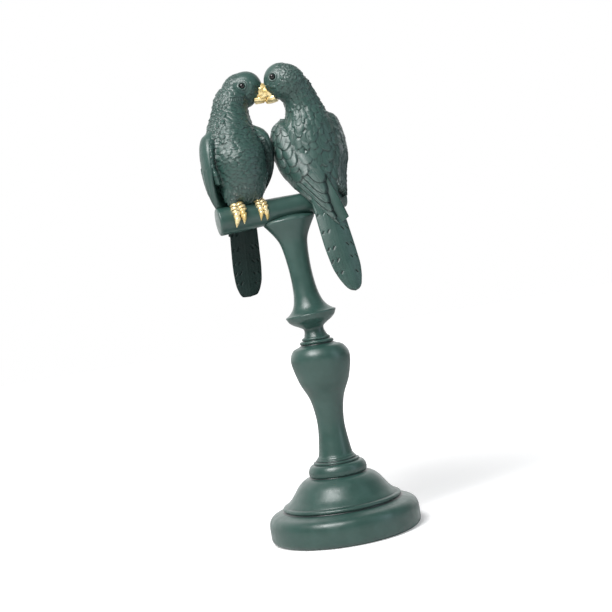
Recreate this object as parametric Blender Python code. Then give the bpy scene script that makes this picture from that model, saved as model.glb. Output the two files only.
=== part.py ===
"""Parrot figurine: two parrots kissing on a round perch, on a turned stand, cast as one piece.

The stand is turned about a vertical axis. Above its neck the column, the perch and the birds
lean a few degrees. A bird is a body with a neck and a head, two folded wings, a fan of tail
feathers, toes that hook over the perch, and a beak. Its feathers are carved in rows: each row
of rounded tips stands proud of the row below it, like shingles.
Units are metres, +Z is up, and the origin is the centre of the underside.
"""
import math

import bmesh
import bpy
import numpy as np
from mathutils import Matrix

MM = 0.001
DEG = math.pi / 180
UP = np.array([0.0, 0.0, 1.0])

# Turned stand: radii, and heights above the underside
FOOT_RADIUS = 60.7 * MM
FOOT_HEIGHT = 25 * MM
FOOT_EDGE = 3.5 * MM
DOME_RADIUS = 45.6 * MM
DOME_RISE = 20 * MM
TORUS_RADIUS = 23.6 * MM
TORUS_RISE = 9.6 * MM
WAIST_RADIUS = 10.6 * MM
WAIST_HEIGHT = 89 * MM
BULB_RADIUS = 23.6 * MM
BULB_HEIGHT = 142 * MM
COLLAR_RADIUS = 13 * MM
COLLAR_RISE = 15 * MM
NECK_RADIUS = 7.7 * MM
NECK_RISE = 8.5 * MM
FLANGE_RADIUS = 20.6 * MM
FLANGE_RISE = 13.9 * MM
COLUMN_RADIUS = 8.7 * MM
COLUMN_HEIGHT = 87.6 * MM
COLUMN_WAIST_SHARE = 0.37
FLARE_RADIUS = 20.5 * MM
FLARE_FLATNESS = 0.62
BEAD = 1.2 * MM

# The lean of everything above the neck, towards -X
LEAN = 3.9 * DEG

# Perch
PERCH_LENGTH = 106 * MM
PERCH_SHIFT = -3.4 * MM
PERCH_RADIUS_LEFT = 11.2 * MM
PERCH_RADIUS_RIGHT = 8.9 * MM
PERCH_EDGE = 0.8 * MM

# Birds: measured from the perch's axis, sideways, back and up as the bird sits
BIRD_SPACING = 62 * MM
BODY_WIDTH = 50 * MM
BODY_DEPTH = 46 * MM
BODY_BOTTOM = 8.5 * MM
SHOULDER_HEIGHT = 60 * MM
HEAD_LENGTH = 35.2 * MM
HEAD_WIDTH = 27 * MM
HEAD_DEPTH = 29.6 * MM
EYE_RADIUS = 2.2 * MM
BEAK_LENGTH = 10.8 * MM
BEAK_WIDTH = 10 * MM
BEAK_DEPTH = 17 * MM
FEET_SPREAD = 20.4 * MM
FEET_SHIFT = -2.8 * MM
TOE_RADIUS = 2.6 * MM
TOE_GAP = 5.4 * MM
WING_THICKNESS = 5.5 * MM
WING_WRAP = 27 * MM
TAIL_WIDTH = 24.2 * MM
TAIL_THICKNESS = 3 * MM
TAIL_FEATHERS = 5
TIP_SLANT = 0.2
NAPE_FEATHER = 6.4 * MM
FEATHER_RELIEF = 1.0 * MM

# Heights that follow from the ones above, each piece standing on the one below it
COLLAR_HEIGHT = BULB_HEIGHT + COLLAR_RISE
LEAN_HEIGHT = COLLAR_HEIGHT + 2 * MM
NECK_HEIGHT = COLLAR_HEIGHT + NECK_RISE
FLANGE_HEIGHT = NECK_HEIGHT + FLANGE_RISE
COLUMN_WAIST = FLANGE_HEIGHT + COLUMN_HEIGHT * COLUMN_WAIST_SHARE
PERCH_HEIGHT = FLANGE_HEIGHT + COLUMN_HEIGHT

# A bird is laid out in steps: 50 to its width, 46 to its depth and 60 to its shoulder height
STEP = np.array((BODY_WIDTH / 50, BODY_DEPTH / 46, SHOULDER_HEIGHT / 60))

# Fineness of the mesh
TURNED_SIDES = 24
BODY_FEATHERS = 12
WING_FEATHERS = 6
GREEN, GOLD, BLACK = range(3)


class Pose:
    """Where one bird sits, and how it holds its head, wings and tail, in steps.

    A wing is a line from the shoulder to the tip, a tail a line from its root, and a neck
    is rows of height, sideways, back and half width.
    """

    def __init__(self, name, side, facing, head, neck, crossed_wing, side_wing, tail):
        self.name = name
        self.side = side
        self.facing = facing
        self.head = np.array(head) * STEP
        self.head_turn = 58 * DEG
        self.neck = np.array(neck) * STEP[[2, 0, 1, 0]]
        self.crossed_wing = np.array(crossed_wing) * STEP
        self.side_wing = np.array(side_wing) * STEP
        self.tail = np.array(tail) * STEP


POSES = (
    Pose("front_bird", -1, 7 * DEG, head=(19.8, 7, 101.4),
         neck=((76, 1.2, 3, 18.0), (87, 5.0, 5, 15.2), (97, 9.2, 6, 14.8), (105, 14.4, 7, 13.2)),
         crossed_wing=((16.5, -2, 72.5), (23.4, 0, 58.5), (22.0, 5, 41), (11.6, 13, 25), (4.6, 18.5, 11),
                       (-2, 23.5, -3), (-9, 25, -14)),
         side_wing=((-16.4, -1, 73), (-23.2, 1, 58), (-24.2, 4, 40), (-21.9, 8, 23), (-15.8, 12, 8),
                    (-13.2, 14, -1)),
         tail=((-0.6, 17, 4), (-3, 24.5, -31), (-5.4, 29, -65))),
    Pose("back_bird", 1, 180 * DEG, head=(12.3, 7.6, 99.2),
         neck=((76, -1.0, 3, 15.4), (87, 2.0, 5.5, 13.9), (96, 5.2, 7, 13.6), (103, 8.4, 7.6, 11.8)),
         crossed_wing=((16.5, -2, 72.5), (23.2, 0, 58.5), (23.2, 5, 41), (16.5, 12, 25), (9.5, 17.5, 11),
                       (1, 23, -4), (-8.5, 25.5, -17.5)),
         side_wing=((-17.2, -1, 73.5), (-23.4, 1, 58), (-23.2, 4, 40), (-17.6, 8, 23), (-13.6, 12, 8),
                    (-12, 14, -1)),
         tail=((2.8, 17, 4), (2.0, 25.5, -37), (-1.0, 31, -77.5))),
)


def clear_scene():
    for thing in list(bpy.data.objects):
        bpy.data.objects.remove(thing, do_unlink=True)


def paint(name, colour, roughness, metallic):
    material = bpy.data.materials.new(name)
    material.use_nodes = True
    shader = material.node_tree.nodes["Principled BSDF"]
    shader.inputs["Base Color"].default_value = (*colour, 1)
    shader.inputs["Roughness"].default_value = roughness
    shader.inputs["Metallic"].default_value = metallic
    return material


def unit(vector):
    return vector / np.linalg.norm(vector)


def smooth_run(points, steps):
    """Points along a Catmull-Rom curve through the given points."""
    given = [np.array(point, dtype=float) for point in points]
    padded = [2 * given[0] - given[1]] + given + [2 * given[-1] - given[-2]]
    run = []
    for index in range(len(given) - 1):
        before, start, end, after = padded[index:index + 4]
        for step in range(steps):
            t = step / steps
            run.append(0.5 * (2 * start + (end - before) * t
                              + (2 * before - 5 * start + 4 * end - after) * t ** 2
                              + (3 * start - before - 3 * end + after) * t ** 3))
    run.append(given[-1])
    return run


def smooth_value(table, key):
    """Values of a table's other columns at a key of its first column, on a smooth curve."""
    rows = np.array(table, dtype=float)
    keys = rows[:, 0]
    key = min(max(key, keys[0]), keys[-1])
    index = min(int(np.searchsorted(keys, key, side="right")) - 1, len(keys) - 2)
    span = keys[index + 1] - keys[index]
    t = (key - keys[index]) / span
    slopes = np.gradient(rows[:, 1:], keys, axis=0)
    return ((2 * t ** 3 - 3 * t ** 2 + 1) * rows[index, 1:]
            + (t ** 3 - 2 * t ** 2 + t) * span * slopes[index]
            + (3 * t ** 2 - 2 * t ** 3) * rows[index + 1, 1:]
            + (t ** 3 - t ** 2) * span * slopes[index + 1])


def arc(centre, radius, start, end, steps):
    """Profile points on an arc; angles run from outwards to upwards."""
    angles = [start + (end - start) * step / steps for step in range(steps + 1)]
    return [(centre[0] + radius * math.cos(angle), centre[1] + radius * math.sin(angle))
            for angle in angles]


# Turned stand

def foot_profile():
    """The foot: a small round below, a long soft round above, and a groove at its inner edge."""
    lower = arc((FOOT_RADIUS - FOOT_EDGE, FOOT_EDGE), FOOT_EDGE, -90 * DEG, -10 * DEG, 2)
    middle = FOOT_HEIGHT * 0.52
    inner = DOME_RADIUS + 3.5 * MM
    upper = []
    for step in range(5):
        angle = 90 * DEG * step / 4
        upper.append((inner + (FOOT_RADIUS - inner) * math.cos(angle),
                      middle + (FOOT_HEIGHT - middle) * math.sin(angle)))
    return lower + upper


def lower_profile():
    """Radii and heights of the upright part, from the underside to the collar."""
    rim = arc((DOME_RADIUS + 1 * MM, FOOT_HEIGHT + 1 * MM), 1.6 * MM, -70 * DEG, 90 * DEG, 2)
    dome_base = FOOT_HEIGHT + 3 * MM
    dome = [(TORUS_RADIUS + (DOME_RADIUS - TORUS_RADIUS) * out, dome_base + DOME_RISE * rise)
            for out, rise in ((0.93, 0.05), (0.75, 0.24), (0.58, 0.51), (0.33, 0.82), (0.03, 0.98))]
    torus_base = dome_base + DOME_RISE
    torus = [(TORUS_RADIUS * share, torus_base + TORUS_RISE * rise)
             for share, rise in ((0.975, 0.0), (1.0, 0.14), (1.0, 0.46), (0.96, 0.75), (0.86, 0.98))]
    ring_base = torus_base + TORUS_RISE
    rings = [(TORUS_RADIUS * share, ring_base + BEAD * rise)
             for share, rise in ((0.79, 0.2), (0.8, 0.9), (0.75, 1.6),
                                 (0.69, 1.8), (0.7, 2.6), (0.64, 3.3))]
    stem = smooth_run([
        (TORUS_RADIUS * 0.58, ring_base + 4.4 * BEAD),
        (WAIST_RADIUS + 2 * MM, ring_base + 9 * MM),
        (WAIST_RADIUS, WAIST_HEIGHT),
        (WAIST_RADIUS + 2.6 * MM, WAIST_HEIGHT + 20 * MM),
        (BULB_RADIUS - 3.6 * MM, BULB_HEIGHT - 17 * MM),
        (BULB_RADIUS, BULB_HEIGHT),
        (BULB_RADIUS - 4 * MM, BULB_HEIGHT + COLLAR_RISE * 0.58),
        (COLLAR_RADIUS + 1.3 * MM, COLLAR_HEIGHT - 3.4 * MM),
    ], 2)
    collar = arc((COLLAR_RADIUS - BEAD, COLLAR_HEIGHT - 0.6 * MM), BEAD, -70 * DEG, 90 * DEG, 2)
    collar += arc((COLLAR_RADIUS - 3 * BEAD, COLLAR_HEIGHT + 2.1 * MM), BEAD, -50 * DEG, 90 * DEG, 2)
    return foot_profile() + rim + dome + torus + rings + stem + collar


def upper_profile():
    """Radii and heights of the leaning part, from the neck to the seat under the perch."""
    seat = PERCH_HEIGHT - (PERCH_RADIUS_LEFT + PERCH_RADIUS_RIGHT) / 2 - 0.9 * MM
    root = [(NECK_RADIUS, COLLAR_HEIGHT - 5 * MM)]
    bowl = FLANGE_RADIUS - NECK_RADIUS
    cup = smooth_run([
        (NECK_RADIUS + 1.2 * MM, LEAN_HEIGHT),
        (NECK_RADIUS, NECK_HEIGHT),
        (NECK_RADIUS + bowl * 0.42, NECK_HEIGHT + FLANGE_RISE * 0.38),
        (FLANGE_RADIUS - 0.8 * MM, FLANGE_HEIGHT - 2 * MM),
    ], 2)
    rim = arc((FLANGE_RADIUS - 1 * MM, FLANGE_HEIGHT - 0.2 * MM), 1 * MM, -20 * DEG, 75 * DEG, 2)
    column = smooth_run([
        (FLANGE_RADIUS - bowl * 0.32, FLANGE_HEIGHT + 3 * MM),
        (FLANGE_RADIUS - bowl * 0.65, FLANGE_HEIGHT + 9 * MM),
        (COLUMN_RADIUS + 0.6 * MM, COLUMN_WAIST - COLUMN_HEIGHT * 0.125),
        (COLUMN_RADIUS, COLUMN_WAIST),
        (COLUMN_RADIUS + 1.6 * MM, COLUMN_WAIST + COLUMN_HEIGHT * 0.27),
        (FLARE_RADIUS - 6.2 * MM, seat - 10.5 * MM),
        (FLARE_RADIUS, seat),
    ], 2)
    saddle = [(FLARE_RADIUS * 0.5, PERCH_HEIGHT - PERCH_RADIUS_RIGHT * 0.7)]
    return root + cup + rim + column + saddle


def turned(name, profile, materials):
    """A solid turned from a profile and closed flat at both ends."""
    shape = bmesh.new()
    edge = [(0, profile[0][1])] + list(profile) + [(0, profile[-1][1])]
    corners = [shape.verts.new((radius, 0, height)) for radius, height in edge]
    lines = [shape.edges.new(pair) for pair in zip(corners, corners[1:])]
    bmesh.ops.spin(shape, geom=corners + lines, cent=(0, 0, 0), axis=(0, 0, 1),
                   angle=2 * math.pi, steps=TURNED_SIDES, use_merge=True)
    bmesh.ops.remove_doubles(shape, verts=shape.verts, dist=0.01 * MM)
    return to_object(name, shape, materials)


def to_object(name, shape, materials):
    bmesh.ops.recalc_face_normals(shape, faces=shape.faces)
    if shape.calc_volume(signed=True) < 0:
        bmesh.ops.reverse_faces(shape, faces=shape.faces)
    mesh = bpy.data.meshes.new(name)
    shape.to_mesh(mesh)
    shape.free()
    for material in materials:
        mesh.materials.append(material)
    thing = bpy.data.objects.new(name, mesh)
    bpy.context.collection.objects.link(thing)
    return thing


def make_column(materials):
    """The leaning column; its flare goes from round to oval, as wide as the perch needs."""
    column = turned("column", upper_profile(), materials)
    for corner in column.data.vertices:
        share = (corner.co.z - COLUMN_WAIST) / (PERCH_HEIGHT - COLUMN_WAIST)
        if share > 0:
            corner.co.y *= 1 - (1 - FLARE_FLATNESS) * share ** 2
    column.matrix_world = lean_matrix()
    return column


def make_perch(materials):
    shape = bmesh.new()
    bmesh.ops.create_cone(shape, cap_ends=True, segments=20, radius1=PERCH_RADIUS_LEFT,
                          radius2=PERCH_RADIUS_RIGHT, depth=PERCH_LENGTH)
    rims = [edge for edge in shape.edges if abs(edge.verts[0].co.z - edge.verts[1].co.z) < 0.1 * MM]
    bmesh.ops.bevel(shape, geom=rims, offset=PERCH_EDGE, segments=1, affect="EDGES")
    bmesh.ops.rotate(shape, verts=shape.verts, cent=(0, 0, 0), matrix=Matrix.Rotation(90 * DEG, 3, "Y"))
    perch = to_object("perch", shape, materials)
    perch.matrix_world = lean_matrix() @ Matrix.Translation((PERCH_SHIFT, 0, PERCH_HEIGHT))
    return perch


def lean_matrix():
    """Turns what is above the neck about the neck's centre, towards -X."""
    pivot = Matrix.Translation((0, 0, LEAN_HEIGHT))
    return pivot @ Matrix.Rotation(-LEAN, 4, "Y") @ pivot.inverted()


# Carving

def skin(name, rings, materials, slot=GREEN):
    """A closed solid over rings of equal length, with a fan over the ring at each end."""
    shape = bmesh.new()
    rows = [[shape.verts.new(tuple(point)) for point in ring] for ring in rings]
    for upper, lower in zip(rows, rows[1:]):
        for index in range(len(upper)):
            after = (index + 1) % len(upper)
            shape.faces.new((upper[index], upper[after], lower[after], lower[index]))
    for row, ring in ((rows[0], rings[0]), (rows[-1], rings[-1])):
        middle = shape.verts.new(tuple(np.mean(ring, axis=0)))
        for index in range(len(row)):
            shape.faces.new((row[index], row[(index + 1) % len(row)], middle))
    for face in shape.faces:
        face.material_index = slot
    return to_object(name, shape, materials)


def loft(name, centres, outward, widths, depths, materials, sides=8, slot=GREEN):
    """Elliptical sections along a run of centres; outward is the sections' short axis."""
    centres = np.array(centres, dtype=float)
    along = np.gradient(centres, axis=0)
    outward = np.broadcast_to(np.array(outward, dtype=float), centres.shape)
    rings = []
    for centre, ahead, out, width, depth in zip(centres, along, outward, widths, depths):
        across = unit(np.cross(ahead, out))
        rise = unit(np.cross(across, ahead))
        angles = [2 * math.pi * turn / sides for turn in range(sides)]
        rings.append([centre + across * width * math.cos(angle) + rise * depth * math.sin(angle)
                      for angle in angles])
    return skin(name, rings, materials, slot)


def shingle_rings(surface, rows, columns):
    """Rings of a surface carved with rows of feathers.

    surface(row, column) gives a point and its outward normal. A column is its position, its
    phase counted in feathers, and the share of the relief that it carries.
    """
    rings = []
    for number, (row, pitch) in enumerate(rows):
        tips = []
        roots = []
        for column, phase, share in columns:
            aside = abs((phase + 0.5 * (number % 2)) % 1.0 - 0.5) * 2
            reach = pitch * share * (0.5 * aside - 0.05)
            point, normal = surface(row + reach, column)
            tips.append(point + normal * FEATHER_RELIEF * share * (0.4 + 0.6 * aside))
            point, normal = surface(row + reach + 0.12 * pitch, column)
            roots.append(point - normal * FEATHER_RELIEF * share * 0.25)
        rings += [tips, roots]
    return rings


# Depth below the shoulder as a share, shares of the body's half width and half depth, shift back
BODY_SECTIONS = (
    (0.00, 0.88, 0.88, 1.5 * MM),
    (0.20, 0.99, 0.98, -0.5 * MM),
    (0.44, 1.00, 1.00, -1.0 * MM),
    (0.68, 0.86, 0.90, 0.5 * MM),
    (0.88, 0.61, 0.70, 2.0 * MM),
    (1.00, 0.34, 0.42, 3.0 * MM),
)


def body_section(pose, height):
    """Centre, half width and half depth of the body and neck at a height."""
    if height <= SHOULDER_HEIGHT:
        share = (SHOULDER_HEIGHT - height) / (SHOULDER_HEIGHT - BODY_BOTTOM)
        width, depth, back = smooth_value(BODY_SECTIONS, share)
        return np.array([0, back, height]), width * BODY_WIDTH / 2, depth * BODY_DEPTH / 2
    top = BODY_SECTIONS[0]
    rows = [(SHOULDER_HEIGHT, 0, top[3], top[1] * BODY_WIDTH / 2)] + list(pose.neck)
    sideways, back, width = smooth_value(rows, height)
    return np.array([sideways, back, height]), width, width * BODY_DEPTH / BODY_WIDTH


def make_body(pose, materials):
    """Body and neck, with small feathers all round; turn 0 is the middle of the breast."""
    def surface(drop, turn):
        height = pose.neck[-1][0] - drop
        centre, width, depth = body_section(pose, height)
        radial = np.array([math.sin(turn), -math.cos(turn), 0.0])
        return centre + radial * (width, depth, 0), unit(radial / (width, depth, 1))

    drop = 3 * MM
    pitch = NAPE_FEATHER
    rows = []
    while pose.neck[-1][0] - drop - pitch > BODY_BOTTOM + 3 * MM:
        rows.append((drop, pitch))
        drop += pitch
        pitch *= 1.05
    count = 2 * BODY_FEATHERS
    columns = [(2 * math.pi * index / count, index / 2, 1.0) for index in range(count)]
    rings = shingle_rings(surface, rows, columns)
    top = [surface(0, column[0])[0] for column in columns]
    bottom = [surface(pose.neck[-1][0] - BODY_BOTTOM, column[0])[0] for column in columns]
    return skin("body", [top] + rings + [bottom], materials)


def make_rump(pose, materials):
    """From the back down to the root of the tail, behind the perch."""
    root, middle, _ = pose.tail
    run = smooth_run([(0, 8, 44) * STEP, (0, 12, 24) * STEP, root, (root + middle) / 2], 2)
    shares = np.linspace(0, 1, len(run))
    widths = (17 - 6 * shares) * STEP[0]
    depths = (13 - 9 * shares) * STEP[1]
    return loft("rump", run, (0, 1, 0), widths, depths, materials)


def make_thighs(materials):
    thighs = []
    for side in (-1, 1):
        foot = np.array((side * FEET_SPREAD / 2 + FEET_SHIFT, 0, 0))
        run = [(side * 11, -2, 30) * STEP, foot + (0, -4, 20) * STEP, foot + (0, -4, 10) * STEP]
        swell = np.array((9, 8, 5)) * STEP[0]
        thighs.append(loft("thigh", run, (0, -1, 0), swell, swell, materials))
    return thighs


def head_axes(pose):
    forward = np.array([math.sin(pose.head_turn), -math.cos(pose.head_turn), 0.0])
    return forward, np.cross(UP, forward)


def make_head(pose, materials):
    """The skull: an egg, a little blunter at the face."""
    forward, _ = head_axes(pose)
    angles = np.linspace(-80, 80, 8) * DEG
    centres = pose.head + np.outer(np.sin(angles) * HEAD_LENGTH / 2, forward)
    swell = np.cos(angles) * (1 + 0.06 * np.sin(angles))
    return loft("head", centres, UP, swell * HEAD_WIDTH / 2, swell * HEAD_DEPTH / 2, materials, 12)


def make_eyes(pose, materials):
    forward, aside = head_axes(pose)
    eyes = []
    for side in (-1, 1):
        spot = (pose.head + forward * HEAD_LENGTH * 0.15 + UP * HEAD_DEPTH * 0.12
                + aside * side * HEAD_WIDTH * 0.45)
        centres = [spot + aside * side * EYE_RADIUS * out for out in (-1.0, 0.2, 0.75)]
        radii = np.array((1.0, 1.0, 0.55)) * EYE_RADIUS
        eyes.append(loft("eye", centres, UP, radii, radii, materials, 8, BLACK))
    return eyes


def make_beak(pose, materials):
    """A hooked upper beak over a short lower one."""
    forward, aside = head_axes(pose)
    root = pose.head + forward * HEAD_LENGTH * 0.355 - UP * HEAD_DEPTH * 0.12
    hook = [root + forward * BEAK_LENGTH * reach - UP * BEAK_DEPTH * drop
            for reach, drop in ((0.0, 0.0), (0.38, 0.03), (0.70, 0.14), (0.88, 0.31), (0.92, 0.46))]
    width = np.array((1.0, 0.96, 0.82, 0.64, 0.4)) * BEAK_WIDTH / 2
    depth = np.array((0.98, 0.88, 0.64, 0.42, 0.24)) * BEAK_DEPTH * 0.42
    upper = loft("upper beak", hook, np.cross(aside, forward), width, depth, materials, 8, GOLD)
    jaw = [root - UP * BEAK_DEPTH * 0.37 + forward * BEAK_LENGTH * reach - UP * BEAK_DEPTH * drop
           for reach, drop in ((0.0, 0.0), (0.44, 0.05), (0.74, 0.1))]
    lower = loft("lower beak", jaw, UP, np.array((0.98, 0.86, 0.52)) * BEAK_WIDTH / 2,
                 np.array((1.0, 0.84, 0.46)) * BEAK_DEPTH * 0.21, materials, 8, GOLD)
    return [upper, lower]


def perch_radius(pose):
    share = 0.5 + pose.side * BIRD_SPACING / 2 / PERCH_LENGTH
    return PERCH_RADIUS_LEFT + (PERCH_RADIUS_RIGHT - PERCH_RADIUS_LEFT) * share


def make_toes(pose, materials):
    """Two front toes on each foot: they run over the perch, ringed, and end in claws."""
    seat = perch_radius(pose) + 0.5 * TOE_RADIUS
    rings = np.array((1.0, 0.86, 1.08, 0.88, 1.08, 0.8, 0.28))
    toes = []
    for side in (-1, 1):
        for toe in (-1, 1):
            angles = np.linspace(76 + 3 * toe, -34 + 5 * toe * side, len(rings)) * DEG
            line = [(side * FEET_SPREAD / 2 + FEET_SHIFT + toe * TOE_GAP / 2 * (0.85 + 0.02 * step),
                     -seat * math.cos(angle), seat * math.sin(angle)) for step, angle in enumerate(angles)]
            out = [(0, -math.cos(angle), math.sin(angle)) for angle in angles]
            toes.append(loft("toe", line, out, rings * TOE_RADIUS, rings * TOE_RADIUS, materials, 6, GOLD))
    return toes


def make_wing(line, side, materials):
    """A folded wing: coverts in rows over its upper half, long flight feathers below them."""
    spine = np.array(smooth_run(line, 4))
    along = np.gradient(spine, axis=0)
    shares = np.linspace(0, 1, len(spine))
    spread = ((0, 3), (0.12, 10), (0.28, 15.5), (0.44, 17), (0.62, 14), (0.85, 9), (1, 5))
    halves = np.array([smooth_value(spread, share)[0] for share in shares]) * STEP[2]
    turns = (10 + 50 * shares) * DEG
    outs = np.stack([side * np.cos(turns), np.sin(turns), 0.5 * (1 - shares) ** 3], axis=1)

    def at(table, share):
        return np.array([np.interp(share, shares, column) for column in np.atleast_2d(table.T)])

    def surface(share, angle):
        """Angle 0 is the back edge, 90 degrees the middle of the outer face."""
        centre = at(spine, share)
        ahead = unit(at(along, share))
        out = at(outs, share)
        across = unit(np.cross(ahead, out)) * side
        rise = unit(np.cross(across, ahead)) * side
        rise = rise if rise @ out > 0 else -rise
        half = at(halves, share)[0]
        over = half * math.cos(angle)
        thick = WING_THICKNESS * (1 - 0.4 * share) * min(1, 0.4 + 6 * share)
        hang = over ** 2 / (2 * WING_WRAP)
        return centre + across * over + rise * (thick * math.sin(angle) - hang), rise

    outer = 2 * WING_FEATHERS + 1
    columns = [(math.pi * index / (outer - 1), index / 2, math.sin(math.pi * index / (outer - 1)) ** 0.5)
               for index in range(outer)]
    columns += [(math.pi + math.pi * index / 5, 0, 0.0) for index in range(1, 5)]
    rows = [(0.06, 0.075), (0.135, 0.08), (0.215, 0.09), (0.305, 0.10), (0.405, 0.105), (0.51, 0.11)]
    rings = [[surface(0.0, column)[0] for column, _, _ in columns]]
    rings += shingle_rings(surface, rows, columns)
    for share in (0.72, 0.88, 1.0):
        ring = []
        for column, phase, relief in columns:
            middle = int(2 * phase) % 2
            lag = TIP_SLANT * (1 - min(column / math.pi, 1)) - (0.012 if middle else -0.012)
            point, normal = surface(share - lag * (share - 0.72) / 0.28 - 0.012, column)
            ring.append(point + normal * FEATHER_RELIEF * relief * (0.9 if middle else -0.1))
        rings.append(ring)
    return skin("wing", rings, materials)


def make_tail(pose, materials):
    """A fan of long feathers, the middle one outermost, each pair a step shorter and lower."""
    root, bend, tip = pose.tail
    middle = (TAIL_FEATHERS - 1) / 2
    width = TAIL_WIDTH / 3
    pitch = (TAIL_WIDTH - width) / (TAIL_FEATHERS - 1)
    feathers = []
    for number in range(TAIL_FEATHERS):
        step = number - middle
        start = root + (step * pitch * 0.85, -abs(step) * 0.35 * MM, 0)
        end = tip + (step * pitch * 0.85, -abs(step) * 0.8 * MM, step ** 2 * 1.5 * MM)
        bow = bend + (step * pitch * 1.05, -abs(step) * 0.6 * MM, 0)
        line = smooth_run([start, bow, end], 2)
        swell = np.array((0.8, 1.0, 1.05, 1.05, 0.6)) * width / 2
        thick = np.array((1.0, 1.0, 1.0, 0.9, 0.5)) * TAIL_THICKNESS / 2
        feathers.append(loft("tail feather", line, (0, 0.96, 0.25), swell, thick, materials, 6))
    return feathers


def make_bird(pose, materials):
    """The parts of one bird, placed where it sits."""
    parts = [make_body(pose, materials), make_rump(pose, materials), make_head(pose, materials)]
    parts += [make_wing(pose.crossed_wing, 1, materials), make_wing(pose.side_wing, -1, materials)]
    parts += make_thighs(materials) + make_tail(pose, materials) + make_toes(pose, materials)
    parts += make_eyes(pose, materials) + make_beak(pose, materials)
    seat = Matrix.Translation((pose.side * BIRD_SPACING / 2, 0, PERCH_HEIGHT))
    for part in parts:
        part.name = pose.name + " " + part.name
        part.matrix_world = lean_matrix() @ seat @ Matrix.Rotation(pose.facing, 4, "Z")
    return parts


# Casting in one piece

def join_all(body, parts):
    """One exact union of the body with all its parts, which are then removed."""
    group = bpy.data.collections.new("parts of the casting")
    for part in parts:
        group.objects.link(part)
    union = body.modifiers.new("join", "BOOLEAN")
    union.operation = "UNION"
    union.solver = "EXACT"
    union.operand_type = "COLLECTION"
    union.collection = group
    settle(body)
    for part in parts:
        bpy.data.objects.remove(part, do_unlink=True)
    bpy.data.collections.remove(group)


def settle(thing):
    """Replaces a mesh by the result of its modifiers."""
    graph = bpy.context.evaluated_depsgraph_get()
    result = bpy.data.meshes.new_from_object(thing.evaluated_get(graph))
    thing.modifiers.clear()
    thing.data = result


def fill_hollows(thing):
    """Keeps the outer skin alone: the casting is solid where its parts enclose a gap."""
    shape = bmesh.new()
    shape.from_mesh(thing.data)
    left = set(shape.faces)
    skins = []
    while left:
        front = [left.pop()]
        found = set(front)
        while front:
            pairs = [edge.link_faces for edge in front.pop().edges if len(edge.link_faces) == 2]
            near = {face for pair in pairs for face in pair} & left
            left -= near
            found |= near
            front.extend(near)
        skins.append(found)
    outer = max(skins, key=len)
    bmesh.ops.delete(shape, geom=[face for face in shape.faces if face not in outer], context="FACES")
    shape.to_mesh(thing.data)
    shape.free()


def main():
    clear_scene()
    materials = (paint("green paint", (0.052, 0.115, 0.098), 0.42, 0.0),
                 paint("gold paint", (0.78, 0.52, 0.16), 0.3, 1.0),
                 paint("black gloss", (0.006, 0.006, 0.006), 0.08, 0.0))
    casting = turned("parrot_figurine", lower_profile(), materials)
    parts = [make_column(materials), make_perch(materials)]
    for pose in POSES:
        parts += make_bird(pose, materials)
    join_all(casting, parts)
    fill_hollows(casting)
    casting.data.shade_smooth()
    casting.data.set_sharp_from_angle(angle=35 * DEG)


main()
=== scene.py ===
"""Parrot figurine: the carved feathers, the paint and the studio for the one-piece casting.

Lengths are millimetres until a piece is made, which turns them into metres. A bird is worked in
its own frame: x sideways, y back and z up from the perch's axis. Its feathers are laid over a
smooth skin one by one, from the tail towards the beak, so that each lies over the ones behind it.
"""
import math

import bmesh
import bpy
import numpy as np
from mathutils import Matrix, Vector
from mathutils.bvhtree import BVHTree
from mathutils.kdtree import KDTree


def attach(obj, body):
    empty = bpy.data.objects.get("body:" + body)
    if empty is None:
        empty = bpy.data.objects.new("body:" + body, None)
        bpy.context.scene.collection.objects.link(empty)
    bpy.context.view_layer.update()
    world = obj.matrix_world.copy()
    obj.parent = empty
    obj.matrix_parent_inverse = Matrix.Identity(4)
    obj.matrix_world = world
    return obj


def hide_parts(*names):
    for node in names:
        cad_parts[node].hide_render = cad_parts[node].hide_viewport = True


MM = 0.001
DEG = math.pi / 180
UP = np.array([0.0, 0.0, 1.0])

# The lean of everything above the stand's neck
LEAN = 3.9 * DEG
LEAN_HEIGHT = 159

# Stand and perch
FOOT_RADIUS = 61.1
FOOT_HEIGHT = 25
DOME_RADIUS = 45.6
TORUS_RADIUS = 23.6
TORUS_BASE = 48
RING_BASE = 57.6
WAIST_RADIUS = 11
WAIST_HEIGHT = 89
BULB_RADIUS = 24.1
BULB_HEIGHT = 142
COLLAR_RADIUS = 13.3
COLLAR_HEIGHT = 157
NECK_RADIUS = 8
NECK_HEIGHT = 165.5
FLANGE_RADIUS = 20.6
FLANGE_HEIGHT = 179.4
COLUMN_WAIST = 211.8
FLARE_RADIUS = 20.5
FLARE_FLATNESS = 0.62
PERCH_HEIGHT = 267
PERCH_LENGTH = 107.4
PERCH_SHIFT = -4.1
PERCH_RADII = (11.2, 8.9)
# Sideways sway of the stand: height, shift
SWAY = ((0, -0.7), (25, -0.7), (60, 0.1), (90, 0.4), (142, 0.4), (160, -0.6), (180, -0.2),
        (200, -0.5), (256, -0.6), (300, -0.6))

# Birds
BIRD_SPACING = 62
BODY_WIDTH = 50
BODY_DEPTH = 46
BODY_BOTTOM = 8.5
SHOULDER_HEIGHT = 60
HEAD_LENGTH = 35.2
HEAD_WIDTH = 27
HEAD_DEPTH = 29.6
HEAD_TURN = 58 * DEG
EYE_RADIUS = 2.2
TOE_RADIUS = 2.7
TOE_RINGS = 8.5
FEET_SPREAD = 20.4
FEET_SHIFT = -2.8
WING_THICKNESS = 5.5
WING_WRAP = 27
WING_LENGTH = 98
TAIL_WIDTH = 24.2
TAIL_WRAP = 45
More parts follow.
